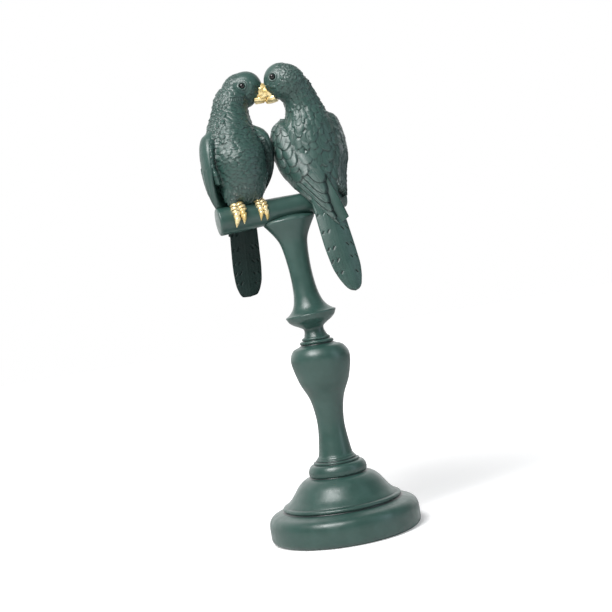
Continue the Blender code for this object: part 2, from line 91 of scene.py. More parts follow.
# Depth below the shoulder as a share, shares of the body's half width and half depth, shift back;
# the slim ones are for the bird whose breast shows
BODY_SECTIONS = ((0.00, 0.88, 0.88, 1.5), (0.20, 0.99, 0.98, -0.5), (0.44, 1.00, 1.00, -1.0),
                 (0.68, 0.86, 0.90, 0.5), (0.88, 0.61, 0.70, 2.0), (1.00, 0.34, 0.42, 3.0))
SLIM_SECTIONS = ((0.00, 0.88, 0.88, 1.5), (0.20, 0.93, 0.98, -0.5), (0.44, 0.84, 1.00, -1.0),
                 (0.68, 0.76, 0.90, 0.5), (0.88, 0.61, 0.70, 2.0), (1.00, 0.34, 0.42, 3.0))
# A wing's half width: share of its length, half width
WING_HALVES = ((0, 3), (0.12, 10), (0.28, 15.5), (0.44, 17), (0.62, 14), (0.85, 9), (1, 5))

# How deep the feathers are let into the casting's skin
RELIEF_DEPTH = 0.5
# The voxels that fuse a bird's solids, and how often the fused skin is softened
VOXEL = 1.0
SOFTENING = 14

# Wings: smallest and largest covert, how high they stand, where they end, how many flight
# feathers, their breadth, the step between them, their fine lines, the slant of their ends, how
# pale rubbing and painted highlight make them, how much painted shade darkens the wing
CARVED = dict(coverts=(4.4, 11.5), cut=3.0, reach=0.57, flights=6, breadth=0.62, step=1.9,
              lines=0.05, slant=0.3, wear_and_highlight=2.2, painted_shade=0.0)
STREAKED = dict(coverts=(3.4, 6.6), cut=1.5, reach=0.44, flights=8, breadth=0.5, step=1.3,
                lines=0.5, slant=0.2, wear_and_highlight=3.0, painted_shade=0.0)
SMOOTH = dict(coverts=(5.0, 8.0), cut=0.3, reach=0.4, flights=5, breadth=0.7, step=0.9,
              lines=0.03, slant=0.25, wear_and_highlight=0.15, painted_shade=0.0)
SHADED = dict(coverts=(4.2, 9.0), cut=1.4, reach=0.5, flights=6, breadth=0.6, step=1.1,
              lines=0.06, slant=0.36, wear_and_highlight=0.3, painted_shade=0.95)

# Share of a wing's length at which its coverts reach their full size
FULL_COVERTS = 0.56

# Necks are height, sideways, back, half width; tail outlines are shares of length and half width;
# an eye is so far ahead of the head's middle and above it
BIRDS = (
    dict(name="front_bird", side=-1, facing=7 * DEG, head=(19.8, 7, 101.4),
         neck=((76, 1.2, 3, 18.0), (87, 5.0, 5, 15.2), (97, 9.2, 6, 15.0), (105.5, 14.3, 7, 13.5)),
         crossed_wing=((16.5, -2, 72.5), (23.2, 0, 58.5), (20.9, 5, 41), (10.4, 13, 25), (4.6, 18.5, 11),
                       (-2, 23.5, -3), (-9, 25, -14)),
         side_wing=((-16.6, -1, 73.6), (-23.4, 1, 58), (-24.2, 4, 40), (-21.0, 8, 23), (-14.0, 12, 8),
                    (-12.2, 14, -1)),
         tail=((-1.2, 17, 4), (-3.6, 24.5, -31), (-5.8, 29, -63)),
         outline=((0, 0.95), (0.4, 1.02), (0.7, 1.0), (0.86, 0.88), (0.96, 0.66), (1, 0.5)),
         styles=(SHADED, SMOOTH), sections=SLIM_SECTIONS, tilt=4 * DEG, eye=(3.4, 1.5), seed=3),
    dict(name="back_bird", side=1, facing=180 * DEG, head=(11.6, 7.6, 99.2),
         neck=((76, -1.0, 3, 15.4), (87, 2.0, 5.5, 13.9), (96, 5.2, 7, 13.6), (103, 8.4, 7.6, 11.8)),
         crossed_wing=((16.5, -2, 72.5), (23.2, 0, 58.5), (23.2, 5, 41), (16.5, 12, 25), (9.5, 17.5, 11),
                       (2, 23, -5), (-6, 25.5, -21)),
         side_wing=((-16.6, -1, 73), (-22.8, 1, 58), (-22.8, 4, 40), (-16.2, 8, 23), (-12.0, 12, 8),
                    (-12, 14, -1)),
         tail=((2.4, 17, 4), (1.7, 25.5, -37), (-1.2, 31, -77)),
         outline=((0, 0.95), (0.3, 1.0), (0.6, 1.0), (0.78, 0.9), (0.9, 0.66), (0.97, 0.42), (1, 0.2)),
         styles=(CARVED, STREAKED), sections=BODY_SECTIONS, tilt=23 * DEG, eye=(4.9, 4.4), seed=8),
)

# Softness of a feather's edge
EDGE = 0.4
# Reach of the painted shade line that a feather's edge leaves on the ones under it
SHADE_REACH = 1.3

# The photograph's view, in metres; the aim is how far to the right of the middle, and how high
CAMERA_DISTANCE = 0.9
CAMERA_LENS = 65.24
CAMERA_TURN = 14 * DEG
CAMERA_ROLL = -9.2 * DEG
CAMERA_AIM = (-0.0044, 0.186)


# Shapes

def unit(vector):
    return vector / np.linalg.norm(vector)


def units(vectors):
    return vectors / np.linalg.norm(vectors, axis=1)[:, None]


def step_up(value):
    """0 below 0, 1 above 1, smooth between."""
    value = np.clip(value, 0, 1)
    return value * value * (3 - 2 * value)


def curve(table, keys):
    """A table's other columns at keys of its first column, on a smooth curve."""
    rows = np.array(table, dtype=float)
    knots = rows[:, 0]
    keys = np.clip(np.atleast_1d(keys), knots[0], knots[-1])
    index = np.clip(np.searchsorted(knots, keys, side="right") - 1, 0, len(knots) - 2)
    span = (knots[index + 1] - knots[index])[:, None]
    t = (keys - knots[index])[:, None] / span
    slopes = np.gradient(rows[:, 1:], knots, axis=0)
    return ((2 * t ** 3 - 3 * t ** 2 + 1) * rows[index, 1:]
            + (t ** 3 - 2 * t ** 2 + t) * span * slopes[index]
            + (3 * t ** 2 - 2 * t ** 3) * rows[index + 1, 1:]
            + (t ** 3 - t ** 2) * span * slopes[index + 1])


def through(points, count):
    """A number of points along a smooth curve through the given points."""
    points = np.array(points, dtype=float)
    knots = np.arange(len(points), dtype=float)
    return curve(np.column_stack([knots, points]), np.linspace(0, knots[-1], count))


def smooth_line(points, count):
    """The same for a turned profile: a list of pairs."""
    return [tuple(point) for point in through(points, count)]


def around(sides):
    """Angles evenly round a full turn."""
    return np.linspace(0, 2 * math.pi, sides, endpoint=False)


def arc(centre, radius, start, end, steps):
    """Points on an arc between two angles in degrees."""
    angles = np.linspace(start, end, steps + 1) * DEG
    return [(centre[0] + radius * math.cos(angle), centre[1] + radius * math.sin(angle))
            for angle in angles]


def tube(rings):
    """Corners and faces of a closed skin over rings of equal length."""
    rings = np.asarray(rings, dtype=float)
    rows, columns, _ = rings.shape
    corners = np.concatenate([rings.reshape(-1, 3), [rings[0].mean(axis=0), rings[-1].mean(axis=0)]])
    first, last = rows * columns, rows * columns + 1
    faces = []
    for column in range(columns):
        after = (column + 1) % columns
        for row in range(rows - 1):
            low, high = row * columns, (row + 1) * columns
            faces.append((low + column, low + after, high + after, high + column))
        faces.append((after, column, first))
        faces.append((last - 1 - columns + column, last - 1 - columns + after, last))
    return corners, faces


def loft_rings(centres, outward, widths, depths, sides):
    """Elliptical sections along a run of centres; outward is the sections' short axis."""
    centres = np.asarray(centres, dtype=float)
    along = np.gradient(centres, axis=0)
    outward = np.broadcast_to(np.asarray(outward, dtype=float), centres.shape)
    across = units(np.cross(along, outward))
    rise = units(np.cross(across, along))
    angles = around(sides)
    return (centres[:, None] + across[:, None] * np.outer(widths, np.cos(angles))[..., None]
            + rise[:, None] * np.outer(depths, np.sin(angles))[..., None])


def joined(solids):
    """Several solids' corners and faces as one."""
    corners = []
    faces = []
    for points, polygons in solids:
        start = sum(len(each) for each in corners)
        corners.append(points)
        faces += [tuple(index + start for index in polygon) for polygon in polygons]
    return np.concatenate(corners), faces


def leaned(points):
    """Leans points about the centre of the stand's neck, towards -X."""
    height = points[:, 2] - LEAN_HEIGHT
    return np.column_stack([points[:, 0] * math.cos(LEAN) - height * math.sin(LEAN), points[:, 1],
                            points[:, 0] * math.sin(LEAN) + height * math.cos(LEAN) + LEAN_HEIGHT])


def seated(bird, points):
    """From a bird's own frame to its seat on the leaning perch."""
    cosine, sine = math.cos(bird["facing"]), math.sin(bird["facing"])
    turned = np.column_stack([points[:, 0] * cosine - points[:, 1] * sine,
                              points[:, 0] * sine + points[:, 1] * cosine, points[:, 2]])
    return leaned(turned + (bird["side"] * BIRD_SPACING / 2, 0, PERCH_HEIGHT))


def to_mesh(name, corners, faces):
    """A mesh whose faces look outwards."""
    mesh = bpy.data.meshes.new(name)
    mesh.from_pydata([tuple(corner) for corner in corners], [], faces)
    shape = bmesh.new()
    shape.from_mesh(mesh)
    bmesh.ops.recalc_face_normals(shape, faces=shape.faces)
    if shape.calc_volume(signed=True) < 0:
        bmesh.ops.reverse_faces(shape, faces=shape.faces)
    shape.to_mesh(mesh)
    shape.free()
    return mesh


def placed(name, data):
    thing = bpy.data.objects.new(name, data)
    bpy.context.collection.objects.link(thing)
    return thing


def arrays(mesh):
    """A mesh's corners and their normals."""
    found = []
    for label in ("co", "normal"):
        values = np.empty(len(mesh.vertices) * 3)
        mesh.vertices.foreach_get(label, values)
        found.append(values.reshape(-1, 3))
    return found


def spread(values, edges, rounds):
    """Evens values out over a mesh's edges."""
    count = np.bincount(edges.ravel(), minlength=len(values))
    for _ in range(rounds):
        total = np.bincount(edges[:, 0], values[edges[:, 1]], len(values))
        total += np.bincount(edges[:, 1], values[edges[:, 0]], len(values))
        values = 0.5 * values + 0.5 * total / np.maximum(count, 1)
    return values


def piece(name, corners, faces, paint, worn_and_highlit=None, shade=None):
    """Makes a piece in metres; it keeps how hollow each of its points is, how pale rubbing and
    painted highlight make it, and how much painted shade it has.

    paint is a material and the name of its slot; the name is not used.
    """
    mesh = to_mesh(name, corners * MM, faces)
    points, normals = arrays(mesh)
    edges = np.empty(len(mesh.edges) * 2, dtype=np.int64)
    mesh.edges.foreach_get("vertices", edges)
    edges = edges.reshape(-1, 2)
    first, second = edges[:, 0], edges[:, 1]
    way = points[second] - points[first]
    length = np.maximum(np.linalg.norm(way, axis=1), 1e-9)
    total = np.bincount(first, np.einsum("ij,ij->i", way, normals[first]) / length, len(points))
    total -= np.bincount(second, np.einsum("ij,ij->i", way, normals[second]) / length, len(points))
    meeting = np.maximum(np.bincount(edges.ravel(), minlength=len(points)), 1)
    hollow = spread(total / meeting, edges, 2)
    for label, values in (("hollow", hollow), ("worn_and_highlit", worn_and_highlit), ("shade", shade)):
        if values is not None:
            mesh.attributes.new(label, "FLOAT", "POINT").data.foreach_set("value", values)
    material, slot = paint
    mesh.materials.append(material)
    mesh.shade_smooth()
    thing = placed(name, mesh)
    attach(thing, "root")
    return thing


# Stand

def turned(profile, sides):
    """Rings of a profile turned about the vertical axis."""
    profile = np.array(profile, dtype=float)
    angles = around(sides)
    return np.stack([np.outer(profile[:, 0], np.cos(angles)), np.outer(profile[:, 0], np.sin(angles)),
                     np.repeat(profile[:, 1:], sides, axis=1)], axis=2)


def lower_stand():
    """The foot, the dome and the bulb, up to the collar."""
    edge = 5
    foot = arc((FOOT_RADIUS - edge, edge), edge, -90, -5, 10)
    foot += smooth_line((
        (FOOT_RADIUS, 7), (FOOT_RADIUS, 12.5), (FOOT_RADIUS - 0.5, 16.4), (FOOT_RADIUS - 1.9, 19.4),
        (FOOT_RADIUS - 4.4, 21.4), (FOOT_RADIUS - 8, 22.6), (DOME_RADIUS + 3.5, FOOT_HEIGHT - 1.2)), 40)
    rim = arc((DOME_RADIUS + 1, FOOT_HEIGHT + 1), 1.6, -70, 90, 10)
    dome_base = FOOT_HEIGHT + 3
    dome = [(TORUS_RADIUS + (DOME_RADIUS - TORUS_RADIUS) * out, dome_base + 20 * rise)
            for out, rise in through(((0.97, 0), (0.93, 0.05), (0.75, 0.24), (0.58, 0.49),
                                      (0.42, 0.72), (0.22, 0.9), (0.03, 0.98)), 26)]
    torus = [(TORUS_RADIUS * out, TORUS_BASE + 9.6 * rise)
             for out, rise in through(((0.96, -0.01), (0.99, 0.1), (1.0, 0.3), (0.995, 0.5),
                                       (0.96, 0.74), (0.9, 0.92), (0.8, 1.0)), 20)]
    rings = arc((TORUS_RADIUS - 5.7, RING_BASE + 1), 0.9, -50, 80, 8)
    rings += arc((TORUS_RADIUS - 8.1, RING_BASE + 2.9), 0.9, -40, 80, 8)
    stem = smooth_line((
        (15.1, RING_BASE + 4.6), (13.3, RING_BASE + 9), (WAIST_RADIUS, WAIST_HEIGHT),
        (WAIST_RADIUS + 2.6, WAIST_HEIGHT + 20), (BULB_RADIUS - 3.7, BULB_HEIGHT - 17),
        (BULB_RADIUS, BULB_HEIGHT), (BULB_RADIUS - 3.0, BULB_HEIGHT + 8.7),
        (COLLAR_RADIUS + 1.6, COLLAR_HEIGHT - 3.2)), 90)
    collar = arc((COLLAR_RADIUS - 0.9, COLLAR_HEIGHT - 0.9), 1.5, -70, 85, 10)
    collar += arc((COLLAR_RADIUS - 3.2, COLLAR_HEIGHT + 2.0), 1.5, -50, 85, 10)
    corners, faces = tube(turned([(0.5, 0)] + foot + rim + dome + torus + rings + stem + collar
                                 + [(4, COLLAR_HEIGHT + 3.6)], 120))
    return swayed(corners), faces


def upper_stand():
    """The leaning neck, flange and column, flared and flattened towards the perch."""
    seat = PERCH_HEIGHT - sum(PERCH_RADII) / 2 - 0.9
    cup = smooth_line((
        (NECK_RADIUS + 2.4, LEAN_HEIGHT + 0.5), (NECK_RADIUS + 0.9, NECK_HEIGHT - 3),
        (NECK_RADIUS, NECK_HEIGHT), (8.4, NECK_HEIGHT + 2.6), (11.6, NECK_HEIGHT + 4.9),
        (15.6, NECK_HEIGHT + 7.2), (18.6, NECK_HEIGHT + 9.8),
        (FLANGE_RADIUS - 0.8, FLANGE_HEIGHT - 1.8)), 40)
    rim = arc((FLANGE_RADIUS - 1, FLANGE_HEIGHT - 0.2), 1, -25, 80, 8)
    column = smooth_line((
        (FLANGE_RADIUS - 2.2, FLANGE_HEIGHT + 1.4), (16.2, FLANGE_HEIGHT + 3.1),
        (13.8, FLANGE_HEIGHT + 5.8), (11.8, FLANGE_HEIGHT + 9.6), (10.1, FLANGE_HEIGHT + 15.4),
        (9.1, FLANGE_HEIGHT + 22.7), (8.7, COLUMN_WAIST), (8.95, COLUMN_WAIST + 10),
        (9.8, COLUMN_WAIST + 20), (11.2, COLUMN_WAIST + 28), (13.9, seat - 10.2),
        (18.0, seat - 3.8), (FLARE_RADIUS + 0.2, seat)), 110)
    lip = [(FLARE_RADIUS + 0.4, seat + 1.4), (FLARE_RADIUS - 0.6, seat + 2.4),
           (FLARE_RADIUS * 0.5, PERCH_HEIGHT - PERCH_RADII[1] * 0.7)]
    rings = turned([(NECK_RADIUS, COLLAR_HEIGHT - 5)] + cup + rim + column + lip, 120)
    share = np.clip((rings[..., 2] - COLUMN_WAIST) / (PERCH_HEIGHT - COLUMN_WAIST), 0, 1)
    rings[..., 1] *= 1 - (1 - FLARE_FLATNESS) * share ** 2
    rings[..., 0] += np.sign(rings[..., 0]) * 0.4 * step_up((rings[..., 2] - FLANGE_HEIGHT) / 20)
    corners, faces = tube(rings)
    return swayed(leaned(corners)), faces


def swayed(points):
    """Points of the stand, shifted a little: it isn't quite straight."""
    return points + np.column_stack([curve(SWAY, points[:, 2])[:, 0], np.zeros((len(points), 2))])


def perch():
    """The tapered perch, slightly uneven, with rounded ends."""
    half = PERCH_LENGTH / 2
    rows, sides = 90, 96
    along = np.array((0, 0.15, 0.5, 1.1))
    inset = np.array((1.4, 0.8, 0.25, 0))
    places = np.concatenate([along - half, np.linspace(-half + 2, half - 2, rows), half - along[::-1]])
    radii = (np.interp(places, (-half, half), PERCH_RADII)
             - np.concatenate([inset, np.zeros(rows), inset[::-1]]))
    angles = around(sides)
    wave = (1 + 0.006 * np.sin(places[:, None] / 9 + 2 * angles)
            + 0.004 * np.sin(places[:, None] / 4.1 - 3 * angles))
    radius = radii[:, None] * wave
    corners, faces = tube(np.stack([np.repeat(places[:, None], sides, axis=1) + PERCH_SHIFT,
                                    radius * np.cos(angles),
                                    PERCH_HEIGHT + radius * np.sin(angles)], axis=2))
    return leaned(corners), faces


# Feathers

def leaf(along, across, length, width, blunt=0.5):
    """A feather's cover and the shade round its edge, 0 to 1, and its height from root to tip."""
    share = along / length
    bend = np.clip((share - 1 + blunt) / blunt, 0, 1)
    half = width / 2 * np.sqrt(1 - 0.999 * bend ** 2) * (0.8 + 0.2 * step_up(share * 2))
    room = np.minimum(half - np.abs(across), length - along)
    cover = step_up(room / EDGE + 0.5) * step_up(share * 4)
    shade = np.clip(1 + room / SHADE_REACH, 0, 1) * step_up(share * 3 - 1)
    dome = 1 - np.clip(np.abs(across) / (width / 2), 0, 1) ** 2
    height = 0.05 + 0.6 * np.clip(share, 0, 1) ** 1.2 + 0.35 * dome
    return cover, shade, height


class Relief:
    """Feathers laid one over another on a smooth skin."""

    def __init__(self, corners):
        self.corners = corners
        self.height = np.zeros(len(corners))
        self.worn_and_highlit = np.zeros(len(corners))
        self.shade = np.zeros(len(corners))
        self.tree = KDTree(len(corners))
        for index, corner in enumerate(corners):
            self.tree.insert(corner, index)
        self.tree.balance()

    def lay(self, root, normal, ahead, length, width, relief, worn_and_highlit, dark=1.0):
        """One feather from its root, ahead along the skin."""
        ahead = unit(ahead - normal * (ahead @ normal))
        aside = np.cross(normal, ahead)
        found = self.tree.find_range(Vector(root + ahead * length / 2), 0.62 * max(length, width))
        near = np.array([index for _, index, _ in found], dtype=np.int64)
        if len(near) == 0:
            return
        offset = self.corners[near] - root
        near = near[np.abs(offset @ normal) < 0.5 * max(length, width) + 1]
        offset = self.corners[near] - root
        cover, shade, height = leaf(offset @ ahead, offset @ aside, length, width)
        # Painted shade falls just past this feather's edge onto the ones under it; rubbing and painted
        # highlight pale it towards its tip.
        self.shade[near] = np.maximum(self.shade[near], shade * dark) * (1 - cover)
        self.height[near] += (height * relief - self.height[near]) * cover
        self.worn_and_highlit[near] += (height ** 3 * worn_and_highlit - self.worn_and_highlit[near]) * cover


# Birds

def body_section(bird, heights):
    """Centres, half widths and half depths of the body and neck at heights."""
    heights = np.atleast_1d(np.asarray(heights, dtype=float))
    share = (SHOULDER_HEIGHT - heights) / (SHOULDER_HEIGHT - BODY_BOTTOM)
    low = curve(bird["sections"], share)
    top = bird["sections"][0]
    high = curve([(SHOULDER_HEIGHT, 0, top[3], top[1] * BODY_WIDTH / 2)] + list(bird["neck"]), heights)
    upper = (heights > SHOULDER_HEIGHT)[:, None]
    centres = np.where(upper, high[:, :2], np.column_stack([np.zeros(len(heights)), low[:, 2]]))
    widths = np.where(upper[:, 0], high[:, 2], low[:, 0] * BODY_WIDTH / 2)
    depths = np.where(upper[:, 0], high[:, 2] * BODY_DEPTH / BODY_WIDTH, low[:, 1] * BODY_DEPTH / 2)
    return np.column_stack([centres, heights]), widths, depths


def head_axes():
    """Ahead and sideways for the birds' turned heads, both level."""
    forward = np.array([math.sin(HEAD_TURN), -math.cos(HEAD_TURN), 0.0])
    return forward, np.cross(UP, forward)


def wing_skin(line, side, shares, angles):
    """Points of a folded wing, the way out of it, the distance over it; angle 0 is its front."""
    run = through(line, 200)
    steps = np.linspace(0, 1, 200)
    spine = np.column_stack([np.interp(shares, steps, column) for column in run.T])
    way = np.gradient(run, axis=0)
    ahead = units(np.column_stack([np.interp(shares, steps, column) for column in way.T]))
    turns = (10 + 50 * shares) * DEG
    outs = np.column_stack([side * np.cos(turns), np.sin(turns), 0.5 * (1 - shares) ** 3])
    across = units(np.cross(ahead, outs) * side)
    rise = np.cross(across, ahead)
    rise *= np.sign(np.einsum("ij,ij->i", rise, outs))[:, None]
    half = curve(WING_HALVES, shares)[:, 0]
    over = np.outer(half, np.cos(angles))
    thick = WING_THICKNESS * (1 - 0.4 * shares) * np.minimum(1, 0.4 + 6 * shares)
    lift = np.outer(thick, np.sin(angles)) - over ** 2 / (2 * WING_WRAP)
    points = spine[:, None] + across[:, None] * over[..., None] + rise[:, None] * lift[..., None]
    return points, rise, over


def bird_solids(bird):
    """The overlapping solids under a bird's feathers."""
    top = bird["neck"][-1][0]
    centres, widths, depths = body_section(bird, np.linspace(top, BODY_BOTTOM, 60))
    angles = around(64)
    body = np.stack([centres[:, :1] + np.outer(widths, np.sin(angles)),
                     centres[:, 1:2] - np.outer(depths, np.cos(angles)),
                     np.repeat(centres[:, 2:], 64, axis=1)], axis=2)
    level, _ = head_axes()
    forward = level * math.cos(bird["tilt"]) + UP * math.sin(bird["tilt"])
    above = UP * math.cos(bird["tilt"]) - level * math.sin(bird["tilt"])
    turn = np.linspace(-88, 88, 40) * DEG
    swell = np.cos(turn) * (1 + 0.06 * np.sin(turn))
    centre = np.array(bird["head"])
    head = loft_rings(centre - forward * 2 + np.outer(np.sin(turn) * (HEAD_LENGTH / 2 - 2), forward), above,
                      swell * HEAD_WIDTH / 2, swell * HEAD_DEPTH / 2, 40)
    skull = loft_rings(centre + forward * 3 + above * 1.3
                       + np.outer(np.sin(turn) * (HEAD_LENGTH / 2 - 3), forward), above,
                       swell * (HEAD_WIDTH / 2 - 0.5), swell * (HEAD_DEPTH / 2 - 1), 40)
    root, bend, _ = np.array(bird["tail"], dtype=float)
    run = through([(0, 8, 44), (0, 12, 24), root, (root + bend) / 2], 30)
    share = np.linspace(0, 1, 30)
    rump = loft_rings(run, (0, 1, 0), 17 - 6.5 * share, 13 - 11.6 * share, 32)
    solids = [tube(body), tube(head), tube(skull), tube(rump)]
    for side in (-1, 1):
        foot = side * FEET_SPREAD / 2 + FEET_SHIFT
        leg = through([(side * 11, -2, 30), (foot, -4, 20), (foot, -4, 10)], 16)
        size = np.linspace(9, 5, 16)
        solids.append(tube(loft_rings(leg, (0, -1, 0), size, size, 24)))
    shares = np.linspace(0.03, 0.5, 30)
    sunk = 1.6 + 4 * step_up((shares - 0.3) / 0.2)
    for line, side in ((bird["crossed_wing"], 1), (bird["side_wing"], -1)):
        points, rise, _ = wing_skin(line, side, shares, around(40))
        solids.append(tube(points - (rise * sunk[:, None])[:, None]))
    return solids


def fused(name, solids):
    """One skin round overlapping solids, softened where they meet, then made finer once."""
    rough = placed(name, to_mesh(name, *joined(solids)))
    fuse = rough.modifiers.new("fuse", "REMESH")
    fuse.mode = "VOXEL"
    fuse.voxel_size = VOXEL
    soften = rough.modifiers.new("soften", "SMOOTH")
    soften.factor = 0.5
    soften.iterations = SOFTENING
    finer = rough.modifiers.new("finer", "SUBSURF")
    finer.levels = 1
    finer.render_levels = 1
    graph = bpy.context.evaluated_depsgraph_get()
    mesh = bpy.data.meshes.new_from_object(rough.evaluated_get(graph))
    bpy.data.objects.remove(rough, do_unlink=True)
    return mesh


def ruffle(bird, relief, tree, chance, heights, turns, feather):
    """Rows of feathers between two heights and two turns about the body, laid from below.

    feather(height) gives a feather's length, width, relief, how pale rubbing and painted highlight
    make it, and how dark the painted shade at its edge is.
    """
    height = heights[0]
    while height < heights[1]:
        centre, width, _ = body_section(bird, height)
        above, _, _ = body_section(bird, height + 2)
        ahead = unit(centre[0] - above[0])
        length, wide, cut, wear_and_highlight, dark = feather(height)
        step = 0.8 * wide / width[0]
        turn = turns[0] + chance.uniform(0, step)
        while turn < turns[1]:
            out = np.array([math.sin(turn), -math.cos(turn), 0.0])
            start = centre[0] + out * 60 + UP * chance.normal(0, 0.08 * length)
            hit, normal, _, _ = tree.ray_cast(Vector(start), Vector(-out))
            if hit is not None:
                size = chance.uniform(0.8, 1.2)
                way = ahead + np.cross(UP, out) * chance.normal(0, 0.25)
                relief.lay(np.array(hit) - ahead * length * 0.9, np.array(normal), way, length * size,
                           wide * chance.uniform(0.8, 1.25), cut * chance.uniform(0.6, 1.25),
                           wear_and_highlight * chance.uniform(0.0, 1.0), dark * chance.uniform(0.3, 1.0))
            turn += step * chance.uniform(0.85, 1.15)
        height += 0.5 * length


def body_feathers(bird, relief, tree, chance):
    """Short barbs on the breast, scales on the nape and the back, tufts over the feet."""
    top = bird["neck"][-1][0]
    full = 2 * math.pi

    def barbs(height):
        return 3.8, 7.0, 0.85, 0.12, 0.8

    def scales(height):
        grown = 1 - step_up((height - 45) / 45)
        return 4.4 + 6.5 * grown, 3.6 + 2.6 * grown, 0.75 + 0.7 * grown, 0.3, 0.4

    # Scallops on the side of the nape, paled strongly by rubbing and painted highlight.
    def scallops(height):
        return 4.4, 3.6, 1.4, 1.1, 1.0

    ruffle(bird, relief, tree, chance, (14, top - 3), (-0.33 * full, 0.33 * full), barbs)
    ruffle(bird, relief, tree, chance, (14, top - 1), (0.24 * full, 0.76 * full), scales)
    ruffle(bird, relief, tree, chance, (60, top - 1), (-0.4 * full, -0.1 * full), scallops)
    nape_feathers(bird, relief, tree, chance)
    tufts(relief, tree, chance)
    if bird["side"] < 0:
        beard(bird, relief, tree)


def nape_feathers(bird, relief, tree, chance):
    """Scales over the back of the head, fading towards the face."""
    forward, aside = head_axes()
    head = np.array(bird["head"], dtype=float)
    for angle in range(152, 62, -7):
        cosine, sine = math.cos(angle * DEG), math.sin(angle * DEG)
        radius = HEAD_DEPTH / 2 * sine
        count = max(int(2 * math.pi * radius / 3.0), 6)
        for column in range(count):
            turn = 2 * math.pi * (column + chance.uniform(-0.3, 0.3)) / count
            side = UP * math.cos(turn) + aside * math.sin(turn)
            if math.cos(turn) < -0.25:
                continue
            out = forward * cosine + side * sine
            hit, normal, _, _ = tree.ray_cast(Vector(head + out * 60), Vector(-out))
            if hit is None:
                continue
            way = side * cosine - forward * sine
            way = way + np.cross(out, way) * chance.normal(0, 0.25)
            fade = step_up((angle - 66) / 40)
            relief.lay(np.array(hit) - way * 2.0, np.array(normal), way,
                       3.9 * chance.uniform(0.8, 1.2), 3.3, 0.12 + 0.8 * fade,
                       chance.uniform(0.1, 0.9) * fade, 0.7 * fade)


def tufts(relief, tree, chance):
    """Fluffy barbs where the thighs come down on the feet."""
    for side in (-1, 1):
        foot = side * FEET_SPREAD / 2 + FEET_SHIFT
        for height in np.sort(chance.uniform(9, 25, 90)):
            across = foot + chance.normal(0, 3.6)
            hit, normal, _, _ = tree.ray_cast(Vector((across, -60, height)), Vector((0, 1, 0)))
            if hit is None:
                continue
            way = np.array([chance.normal(0, 0.4) + 0.05 * (across - foot), 0, -1.0])
            relief.lay(np.array(hit), np.array(normal), way, chance.uniform(3.0, 5.0), 2.0,
                       chance.uniform(0.3, 1.1), max(chance.uniform(-2.5, 2.0), 0), 0.5)


def beard(bird, relief, tree):
    """A row of short upright strokes under each cheek."""
    forward, aside = head_axes()
    head = np.array(bird["head"], dtype=float)
    for side in (-1, 1):
        for place in np.linspace(-7.5, 3.5, 8):
            start = head + forward * place + aside * side * 40 - UP * (8.6 - 0.02 * place ** 2)
            hit, normal, _, _ = tree.ray_cast(Vector(start), Vector(-aside * side))
            if hit is not None:
                relief.lay(np.array(hit) + UP * 1.5, np.array(normal), -UP, 3.2, 1.1, 0.6, 1.4, 0.8)


def eye_rings(bird, relief):
    """A raised lid and a socket round each eye, with a faint fold outside them."""
    for spot in eye_spots(bird):
        distance = np.linalg.norm(relief.corners - spot, axis=1)
        near = distance < 10
        away = distance[near]
        below = step_up((spot[2] + 1 - relief.corners[near, 2]) / 5)
        clear = 1 - step_up((away - 5.2) / 2.5)
        ring = 0.8 * np.exp(-((away - 3.3) / 0.5) ** 2) - 0.7 * (1 - step_up((away - 1.7) / 1.1))
        fold = 0.22 * np.exp(-((away - 5.2) / 0.5) ** 2) + 0.3 * below * np.exp(-((away - 8.2) / 0.6) ** 2)
        relief.height[near] = relief.height[near] * (1 - clear) + ring + fold
        relief.worn_and_highlit[near] *= 1 - clear
        # Painted highlight round the lid, strongest along its upper side.
        over = step_up((relief.corners[near, 2] - spot[2]) / 2 + 0.5)
        relief.worn_and_highlit[near] += (0.1 + 1.1 * over) * np.exp(-((away - 3.4) / 0.45) ** 2)
        relief.shade[near] *= 1 - clear


def eye_spots(bird):
    """The middles of a bird's two eyes."""
    forward, aside = head_axes()
    ahead, above = bird["eye"]
    return [np.array(bird["head"]) + forward * ahead + aside * side * (HEAD_WIDTH / 2 - 1.0) + UP * above
            for side in (-1, 1)]


def make_body(bird, paint):
    """Body, neck and head in one skin; painted shade darkens the front bird's inner flank and rump."""
    mesh = fused(bird["name"] + "_form", bird_solids(bird))
    corners, normals = arrays(mesh)
    faces = [tuple(face.vertices) for face in mesh.polygons]
    bpy.data.meshes.remove(mesh)
    relief = Relief(corners)
    tree = BVHTree.FromPolygons([tuple(corner) for corner in corners], faces)
    body_feathers(bird, relief, tree, np.random.default_rng(bird["seed"]))
    eye_rings(bird, relief)
    # Painted shade on the front bird's flank next to the back bird, and on its rump under the perch.
    if bird["side"] < 0:
        inner = step_up((corners[:, 0] - 18.3) / 2) * step_up((62 - corners[:, 2]) / 8)
        under = step_up((3 - corners[:, 2]) / 4)
        relief.shade = np.maximum(relief.shade, 0.85 * np.maximum(inner, under))
    carved = corners + normals * (relief.height - RELIEF_DEPTH)[:, None]
    piece(bird["name"] + "_body", seated(bird, carved), faces, paint, relief.worn_and_highlit, relief.shade)


